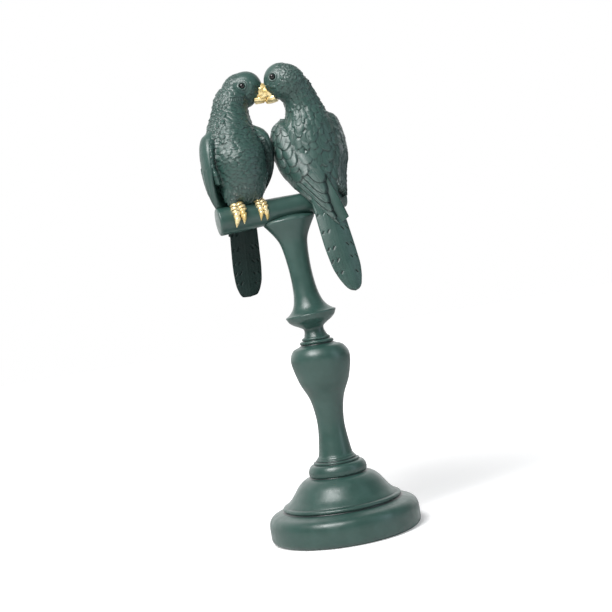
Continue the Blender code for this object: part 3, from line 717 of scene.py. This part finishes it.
def wing_relief(shares, over, chance, style):
    """Heights, rubbing with painted highlight, and painted shade over a wing's outer face."""
    share = np.repeat(shares[:, None], over.shape[1], axis=1)
    along = share * WING_LENGTH
    half = curve(WING_HALVES, shares)[:, 0][:, None]
    height = -4.0 * step_up((share - 0.5) / 0.1)
    worn_and_highlit = np.zeros(over.shape)
    shade = np.zeros(over.shape)
    start = 0.2
    width = style["breadth"] * half
    for number in range(style["flights"]):
        place = number / (style["flights"] - 1)
        middle = 0.78 - 1.5 * place
        end = 1.0 - style["slant"] * place ** 1.1 + chance.normal(0, 0.008)
        across = over - middle * half
        cover, edge, _ = leaf(along - start * WING_LENGTH, across, (end - start) * WING_LENGTH,
                              width, 0.15)
        ridge = 0.3 + style["step"] * np.clip(0.5 + across / width, 0, 1)
        shaft = -0.2 * np.exp(-((across - 0.12 * width) / 0.4) ** 2)
        lines = style["lines"] * (np.sin(across * 5.3 + 0.6 * np.sin(along / 6))
                                  + np.sin(across * 8.7 + number))
        barbs = 0.05 * np.sin((across + along * 0.35) * 4.2)
        height += (ridge + shaft + barbs + lines - height) * cover
        worn_and_highlit += (style["wear_and_highlight"] * (0.25 * ridge + 1.2 * np.clip(lines, 0, 1)) - worn_and_highlit) * cover
        shade = np.maximum(shade, edge) * (1 - cover)
    small, large = style["coverts"]
    tip = style["reach"]
    while tip > 0.02:
        size = small + (large - small) * tip / FULL_COVERTS
        reach = curve(WING_HALVES, tip)[0, 0]
        count = max(int(2 * reach / (size * 0.78)), 2)
        shift = chance.uniform(0, 1)
        for number in range(count + 1):
            place = -1 + 2 * (number + shift - 0.5) / count
            if abs(place) > 1.05:
                continue
            middle = place * reach * 0.95 + chance.normal(0, 0.1 * size)
            end = tip * WING_LENGTH + chance.normal(0, 0.12 * size) - 3 * abs(place) ** 2
            length = size * 1.6
            tilt = 0.18 * place + chance.normal(0, 0.12)
            cover, edge, rise = leaf(along - end + length, over - middle - tilt * (along - end), length,
                                     size * chance.uniform(0.85, 1.2), 0.6)
            cut = style["cut"] * (0.45 + 0.55 * tip / FULL_COVERTS) * chance.uniform(0.75, 1.15)
            fade = 1 - 0.6 * step_up((-place - 0.6) / 0.35)
            height += (0.2 + rise * cut * fade - height) * cover
            worn_and_highlit += (rise ** 3 * chance.uniform(0.1, 1.0) * fade * style["wear_and_highlight"] - worn_and_highlit) * cover
            shade = np.maximum(shade, edge * fade * min(cut, 1)) * (1 - cover)
        tip -= 0.52 * size / WING_LENGTH
    return height, worn_and_highlit, shade


def make_wing(bird, which, side, paint):
    """A folded wing with carved feathers; its shoulder sinks into the body."""
    style = bird["styles"][0 if side > 0 else 1]
    chance = np.random.default_rng(bird["seed"] + 20 + side)
    shares = np.linspace(0.02, 1, 230)
    angles = np.concatenate([np.linspace(0, math.pi, 121), np.linspace(math.pi, 2 * math.pi, 12)[1:-1]])
    points, rise, over = wing_skin(bird[which], side, shares, angles)
    height, worn_and_highlit, shade = wing_relief(shares, over, chance, style)
    outer = np.clip(np.sin(angles), 0, 1) ** 0.3
    sunk = -2.2 * (1 - step_up(shares / 0.16))
    lift = height * outer + sunk[:, None]
    corners, faces = tube(points + rise[:, None] * lift[..., None])
    # Painted shade past the shoulder; strong on the front bird's far wing, none on the others.
    painted_shade = style["painted_shade"] * step_up((shares - 0.12) / 0.12)[:, None]
    wear_and_highlight = np.append(worn_and_highlit * outer, (0, 0))
    dark = np.append(np.maximum(shade * outer, painted_shade), (0, 0))
    piece(bird["name"] + "_" + which, seated(bird, corners), faces, paint, wear_and_highlight, dark)


def notch(along, over, place, aside, slant, length):
    """The depth, 0 to 1, of a short slanting cut."""
    down, out = along - place, over - aside
    ahead = down * math.cos(slant) + out * math.sin(slant)
    across = out * math.cos(slant) - down * math.sin(slant)
    return np.exp(-(across / 0.55) ** 2) * step_up((length / 2 - np.abs(ahead)) / 0.8 + 0.5)


def tail_relief(bird, along, over, length, chance):
    """Heights and shade of the long tail feathers, the middle one on top."""
    height = np.zeros(over.shape)
    shade = np.zeros(over.shape)
    deep = 1.0 if bird["side"] < 0 else 0.55
    for step in (-3, 3, -2, 2, -1, 1, 0):
        across = over - step * TAIL_WIDTH / 8.2
        end = length * (1 - 0.014 * step ** 2 - 0.004 * step)
        cover, edge, _ = leaf(along, across, end, TAIL_WIDTH / 3.6, 0.1)
        ridge = 0.25 + deep * (0.9 - 0.22 * abs(step) - 0.05 * across ** 2 / 4)
        shaft = 0.16 * np.exp(-(across / 0.4) ** 2)
        barbs = 0.05 * np.sin((np.abs(across) - along * 0.9) * 3.6)
        height += (ridge + shaft + barbs - height) * cover
        shade = np.maximum(shade, edge * 0.6 * deep) * (1 - cover)
    for side in (-1, 1):
        for place in (0.2, 0.36, 0.53, 0.68, 0.82):
            start = (place + chance.uniform(-0.03, 0.03)) * length
            for aside in (0.5, 0.84):
                hole = notch(along, over, start, side * aside * TAIL_WIDTH / 2, side * 36 * DEG,
                             chance.uniform(2.6, 3.8))
                height -= 0.9 * hole
                # The cut is painted dark as shade.
                shade = np.maximum(shade, hole)
    return height, shade


def make_tail(bird, paint):
    """A blade of long feathers with short cuts along both sides."""
    chance = np.random.default_rng(bird["seed"] + 40)
    rows, sides = 220, 120
    share = np.linspace(0, 1, rows)
    line = through(bird["tail"], rows)
    length = np.linalg.norm(np.diff(line, axis=0), axis=1).sum()
    out = unit(np.array((0, 0.96, 0.25)))
    half = TAIL_WIDTH / 2 * curve(bird["outline"], share)[:, 0]
    half *= np.sqrt(1 - 0.9 * np.clip((share - 0.985) / 0.015, 0, 1) ** 2)
    angles = around(sides)
    over = np.outer(half, np.cos(angles))
    height, shade = tail_relief(bird, share[:, None] * length, over, length, chance)
    face = np.sign(np.sin(angles)) * np.abs(np.sin(angles)) ** 0.3
    thick = 1.5 * (1 - 0.4 * share)
    lift = np.outer(thick, np.sin(angles)) + height * face - over ** 2 / (2 * TAIL_WRAP)
    points = line[:, None] + np.array((1.0, 0, 0)) * over[..., None] + out * lift[..., None]
    corners, faces = tube(points)
    # The front bird's tail gets painted shade all over.
    painted_shade = 0.8 if bird["side"] < 0 else 0.0
    dark = np.append(np.maximum(shade * np.abs(face), painted_shade), (painted_shade, painted_shade))
    piece(bird["name"] + "_tail", seated(bird, corners), faces, paint, shade=dark)


def make_feet(bird, gold):
    """Two front toes on each foot: stacked rings, a knobbly pad, then a claw."""
    share = 0.5 + bird["side"] * BIRD_SPACING / 2 / PERCH_LENGTH
    seat = PERCH_RADII[0] + (PERCH_RADII[1] - PERCH_RADII[0]) * share
    rows, sides = 120, 28
    t = np.linspace(0, 1, rows)
    taper = 1 - 0.84 * step_up((t - 0.68) / 0.34)
    turn = around(sides)
    solids, grooves = [], []
    for side in (-1, 1):
        for toe in (-1, 1):
            angles = (80 - (118 + 5 * toe * side) * t) * DEG
            radius = (TOE_RADIUS - 0.35 * side) * taper * (1 - 0.12 * t)
            lift = seat + 1.1 * taper
            apart = toe * (0.9 + (1.5 - 0.3 * side) * step_up(t / 0.45) + 0.5 * step_up((t - 0.6) / 0.3))
            apart = apart + 0.5 + (0.8 - 0.6 * side) * (1 - t)
            line = np.column_stack([side * FEET_SPREAD / 2 + FEET_SHIFT + apart,
                                    -lift * np.cos(angles), lift * np.sin(angles)])
            out = np.column_stack([np.zeros(rows), -np.cos(angles), np.sin(angles)])
            rings = loft_rings(line, out, radius, radius * 0.95, sides)
            place = t[:, None] - 0.035 * toe * np.cos(turn)
            wave = np.abs(np.sin(math.pi * place * TOE_RINGS))
            pad = step_up((place - 0.5) / 0.08)
            claw = step_up((place - 0.72) / 0.08)
            scutes = 1.15 * wave ** 0.6 * (1 - pad)
            knobs = 0.35 * np.sin(math.pi * place * 13 + 2 * turn) * pad
            swell = (scutes - 0.35 + knobs * (1 - claw)) * taper[:, None] / TOE_RADIUS
            solids.append(tube(rings + (rings - line[:, None]) * swell[..., None]))
            # Painted shade in the grooves between the rings.
            cuts = (1 - np.clip(wave / 0.55, 0, 1)) * (place < 0.56)
            grooves.append(np.append(cuts, (0, 0)))
    corners, faces = joined(solids)
    piece(bird["name"] + "_feet", seated(bird, corners), faces, gold,
          shade=np.concatenate(grooves))


def make_beak(bird, gold):
    """A hooked upper beak over a short lower one, both beaten and uneven."""
    forward, aside = head_axes()
    root = np.array(bird["head"]) + forward * HEAD_LENGTH * 0.34 - UP * HEAD_DEPTH * 0.12
    rows = 60
    hook = through([root + forward * out - UP * drop for out, drop in
                    ((0, 0), (4.1, 0.5), (7.5, 2.4), (9.6, 5.3), (10.2, 7.8))], rows)
    size = through(((1.0, 0.98), (0.96, 0.88), (0.82, 0.64), (0.64, 0.42), (0.4, 0.24)), rows)
    upper = loft_rings(hook, np.cross(aside, forward), size[:, 0] * 5.1, size[:, 1] * 7.1, 48)
    jaw = through([root - UP * 6.4 - forward * 2.4 + forward * out - UP * drop
                   for out, drop in ((0, 0), (4.8, 0.9), (8.6, 1.7))], rows)
    lower_size = through(((0.98, 1.0), (0.86, 0.84), (0.52, 0.46)), rows)
    lower = loft_rings(jaw, UP, lower_size[:, 0] * 5.0, lower_size[:, 1] * 3.6, 40)
    corners, faces = joined([tube(upper), tube(lower)])
    seed = bird["seed"]
    dents = 0.25 * np.sin(corners @ (0.55, 0.35, 0.5) + seed) * np.sin(corners @ (-0.3, 0.6, 0.45) + 1)
    corners = corners + unit(forward + aside)[None] * dents[:, None]
    piece(bird["name"] + "_beak", seated(bird, corners), faces, gold)


def make_eyes(bird, black):
    _, aside = head_axes()
    solids = []
    for side, spot in zip((-1, 1), eye_spots(bird)):
        turn = np.linspace(-80, 86, 20) * DEG
        line = spot + np.outer(np.sin(turn) * EYE_RADIUS * 0.8, aside * side)
        solids.append(tube(loft_rings(line, UP, np.cos(turn) * EYE_RADIUS, np.cos(turn) * EYE_RADIUS, 32)))
    corners, faces = joined(solids)
    piece(bird["name"] + "_eyes", seated(bird, corners), faces, black)


# Paint

class Nodes:
    """The node tree of a material or a world, with its main shader."""

    def __init__(self, name, kind="materials"):
        self.owner = getattr(bpy.data, kind).new(name)
        self.owner.use_nodes = True
        self.tree = self.owner.node_tree
        self.shader = self.tree.nodes["Principled BSDF" if kind == "materials" else "Background"]

    def add(self, kind, **settings):
        node = self.tree.nodes.new("ShaderNode" + kind)
        for key, value in settings.items():
            setattr(node, key, value)
        return node

    def link(self, source, target):
        self.tree.links.new(source, target)

    def feed(self, socket, value):
        """Links a socket to another, or sets it to a constant."""
        if isinstance(value, bpy.types.NodeSocket):
            self.link(value, socket)
        else:
            socket.default_value = value

    def put(self, label, value):
        """Feeds an input of the main shader."""
        self.feed(self.shader.inputs[label], value)

    def attribute(self, name):
        return self.add("Attribute", attribute_name=name).outputs["Fac"]

    def noise(self, scale, detail=3.0, stretch=(1, 1, 1)):
        """Noise over the piece's own coordinates; scale is in repeats a metre."""
        where = self.add("TexCoord").outputs["Object"]
        mapping = self.add("Mapping")
        mapping.inputs["Scale"].default_value = stretch
        self.link(where, mapping.inputs["Vector"])
        node = self.add("TexNoise")
        node.inputs["Scale"].default_value = scale
        node.inputs["Detail"].default_value = detail
        self.link(mapping.outputs["Vector"], node.inputs["Vector"])
        return node.outputs["Fac"]

    def remap(self, value, low, high, start=0.0, end=1.0):
        node = self.add("MapRange", interpolation_type="SMOOTHSTEP")
        for key, number in (("From Min", low), ("From Max", high), ("To Min", start), ("To Max", end)):
            node.inputs[key].default_value = number
        self.link(value, node.inputs["Value"])
        return node.outputs["Result"]

    def maths(self, operation, first, second):
        node = self.add("Math", operation=operation)
        self.feed(node.inputs[0], first)
        self.feed(node.inputs[1], second)
        return node.outputs["Value"]

    def mix(self, share, first, second):
        """A colour between two colours; each is a socket or three numbers."""
        node = self.add("Mix", data_type="RGBA")
        self.link(share, node.inputs["Factor"])
        for socket, value in ((node.inputs["A"], first), (node.inputs["B"], second)):
            self.feed(socket, (*value, 1) if isinstance(value, tuple) else value)
        return node.outputs["Result"]

    def bump(self, height, strength, distance):
        node = self.add("Bump")
        node.inputs["Strength"].default_value = strength
        node.inputs["Distance"].default_value = distance
        self.link(height, node.inputs["Height"])
        self.put("Normal", node.outputs["Normal"])


def green_paint(name, grain, gloss):
    """Dark green satin paint, with painted shade in the hollows and cuts; the carving is paled by
    rubbing and by painted highlight.
    """
    nodes = Nodes(name)
    hollow = nodes.attribute("hollow")
    patches = nodes.noise(90, 3.0)
    colour = nodes.mix(nodes.remap(patches, 0.35, 0.7), (0.021, 0.060, 0.049), (0.028, 0.072, 0.060))
    # Painted shade in the hollows of the carving.
    colour = nodes.mix(nodes.remap(hollow, 0.0, 0.16), colour, (0.006, 0.015, 0.014))
    # Painted shade carried by the pieces: under feather edges, in cuts and over shaded parts.
    shade = nodes.attribute("shade")
    colour = nodes.mix(shade, colour, (0.005, 0.013, 0.012))
    # Paler on the carving's raised parts and ridges: partly paint thinned by rubbing, partly painted
    # highlight.
    specks = nodes.remap(nodes.noise(260, 2.0), 0.34, 0.58)
    rubbed_and_highlit = nodes.maths("MULTIPLY", nodes.attribute("worn_and_highlit"), specks)
    rubbed_and_highlit = nodes.maths("MULTIPLY", rubbed_and_highlit, nodes.remap(nodes.noise(32, 1.0), 0.4, 0.58, 0.25, 1.0))
    ridges = nodes.maths("MULTIPLY", nodes.remap(hollow, -0.05, -0.22), nodes.remap(patches, 0.4, 0.62))
    pale = nodes.maths("MAXIMUM", nodes.maths("MULTIPLY", rubbed_and_highlit, 0.5),
                       nodes.maths("MULTIPLY", ridges, 0.25))
    colour = nodes.mix(pale, colour, (0.26, 0.29, 0.28))
    nodes.put("Base Color", colour)
    nodes.put("Roughness", nodes.remap(nodes.noise(160, 3.0), 0.3, 0.7, gloss, gloss + 0.1))
    # Less shine under painted shade.
    nodes.put("Specular IOR Level", nodes.remap(shade, 0.3, 1.0, 0.65, 0.12))
    strokes = nodes.maths("MULTIPLY", nodes.noise(500, 2.0, (1, 1, 0.2)), 0.8)
    nodes.bump(nodes.maths("ADD", nodes.noise(900, 4.0), strokes), grain, 0.0004)
    return nodes.owner


def gold_paint():
    """Gold paint in two tones, turned brown by painted shade in the grooves."""
    nodes = Nodes("gold paint")
    hollow = nodes.attribute("hollow")
    patches = nodes.remap(nodes.noise(110, 1.0), 0.35, 0.65)
    colour = nodes.mix(patches, (0.76, 0.56, 0.22), (0.93, 0.77, 0.43))
    # Painted shade in the hollows and grooves.
    colour = nodes.mix(nodes.remap(hollow, 0.0, 0.14), colour, (0.11, 0.055, 0.012))
    colour = nodes.mix(nodes.attribute("shade"), colour, (0.05, 0.022, 0.005))
    nodes.put("Base Color", colour)
    nodes.put("Metallic", 0.65)
    nodes.put("Roughness", nodes.remap(nodes.noise(150, 1.0), 0.3, 0.7, 0.26, 0.36))
    nodes.bump(nodes.noise(160, 0.0), 0.2, 0.0006)
    return nodes.owner


def black_gloss():
    nodes = Nodes("black gloss")
    colour = nodes.mix(nodes.noise(500, 2.0), (0.004, 0.004, 0.004), (0.012, 0.012, 0.012))
    nodes.put("Base Color", colour)
    nodes.put("Roughness", 0.08)
    return nodes.owner


# Studio

def pale_floor():
    """A pale floor that keeps the shadow and looks white straight to the camera."""
    nodes = Nodes("pale floor")
    nodes.put("Base Color", (0.9, 0.9, 0.9, 1))
    nodes.put("Roughness", 0.9)
    path = nodes.add("LightPath")
    glow = nodes.add("Emission")
    away = nodes.add("VectorMath", operation="LENGTH")
    nodes.link(nodes.add("TexCoord").outputs["Object"], away.inputs[0])
    strength = nodes.remap(away.outputs["Value"], 0.15, 0.9, 0.3, 1.0)
    nodes.link(nodes.maths("MULTIPLY", path.outputs["Is Camera Ray"], strength), glow.inputs["Strength"])
    both = nodes.add("AddShader")
    nodes.link(nodes.shader.outputs["BSDF"], both.inputs[0])
    nodes.link(glow.outputs["Emission"], both.inputs[1])
    nodes.link(both.outputs["Shader"], nodes.tree.nodes["Material Output"].inputs["Surface"])
    mesh = bpy.data.meshes.new("floor")
    size = 6.0
    corners = [(-size, -size, 0), (size, -size, 0), (size, size, 0), (-size, size, 0)]
    mesh.from_pydata(corners, [], [(0, 1, 2, 3)])
    mesh.materials.append(nodes.owner)
    placed("floor", mesh)


def sky():
    """Soft pale light; white straight to the camera, and bright in reflections from behind."""
    nodes = Nodes("studio", "worlds")
    bpy.context.scene.world = nodes.owner
    nodes.put("Color", (1, 1, 1, 1))
    path = nodes.add("LightPath")
    parts = nodes.add("SeparateXYZ")
    nodes.link(nodes.add("TexCoord").outputs["Generated"], parts.inputs["Vector"])
    behind = nodes.remap(parts.outputs["Y"], 0.1, 0.8, 0.2, 1.4)
    mirrored = nodes.maths("MULTIPLY", path.outputs["Is Glossy Ray"], behind)
    strength = nodes.maths("MAXIMUM", nodes.maths("MAXIMUM", path.outputs["Is Camera Ray"], mirrored), 0.22)
    nodes.put("Strength", strength)


def lamp(name, place, target, size, power, tint=(1, 1, 1)):
    """A soft rectangular lamp aimed at a target; metres and watts."""
    light = bpy.data.lights.new(name, "AREA")
    light.shape = "RECTANGLE"
    light.size, light.size_y = size
    light.energy = power
    light.color = tint
    thing = placed(name, light)
    thing.location = place
    thing.rotation_euler = (Vector(target) - Vector(place)).to_track_quat("-Z", "Y").to_euler()


def camera():
    """The photograph's view: level, from a little towards -X, and rolled."""
    right = Vector((math.cos(CAMERA_TURN), -math.sin(CAMERA_TURN), 0))
    ahead = Vector((math.sin(CAMERA_TURN), math.cos(CAMERA_TURN), 0))
    sideways, height = CAMERA_AIM
    target = right * sideways + Vector((0, 0, height))
    place = Matrix.Translation(target - ahead * CAMERA_DISTANCE)
    level = Matrix((right, (0, 0, 1), -ahead)).transposed().to_4x4()
    lens = bpy.data.cameras.new("camera")
    lens.lens = CAMERA_LENS
    lens.sensor_width = 36
    thing = placed("camera", lens)
    thing.matrix_world = place @ level @ Matrix.Rotation(CAMERA_ROLL, 4, "Z")
    bpy.context.scene.camera = thing
    bpy.context.scene.view_settings.view_transform = "Standard"


def build():
    """Every piece of the casting; the solid from model.glb is hidden once the stand is made."""
    plain = green_paint("green paint", 0.1, 0.31), "green_paint"
    carved = green_paint("green paint on feathers", 0.3, 0.38), "green_paint"
    gold = gold_paint(), "gold_paint"
    black = black_gloss(), "black_gloss"
    stand = piece("stand", *joined([lower_stand(), upper_stand()]), plain)
    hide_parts("parrot_figurine")
    piece("perch", *perch(), plain)
    for bird in BIRDS:
        make_body(bird, carved)
        make_wing(bird, "crossed_wing", 1, carved)
        make_wing(bird, "side_wing", -1, carved)
        make_tail(bird, carved)
        make_feet(bird, gold)
        make_beak(bird, gold)
        make_eyes(bird, black)


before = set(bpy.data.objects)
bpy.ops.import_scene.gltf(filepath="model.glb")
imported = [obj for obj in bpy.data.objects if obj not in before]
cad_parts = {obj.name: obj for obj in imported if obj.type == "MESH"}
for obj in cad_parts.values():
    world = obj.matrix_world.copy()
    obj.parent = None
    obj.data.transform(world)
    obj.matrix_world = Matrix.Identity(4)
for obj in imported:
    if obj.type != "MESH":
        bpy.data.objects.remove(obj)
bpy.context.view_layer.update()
build()
pale_floor()
sky()
lamp("key", (-0.75, -0.75, 1.28), (0, 0, 0.22), (0.8, 0.8), 33)
lamp("side", (0.95, -0.74, 0.5), (0, 0, 0.2), (0.3, 1.1), 2.2, (0.72, 0.84, 1.0))
camera()
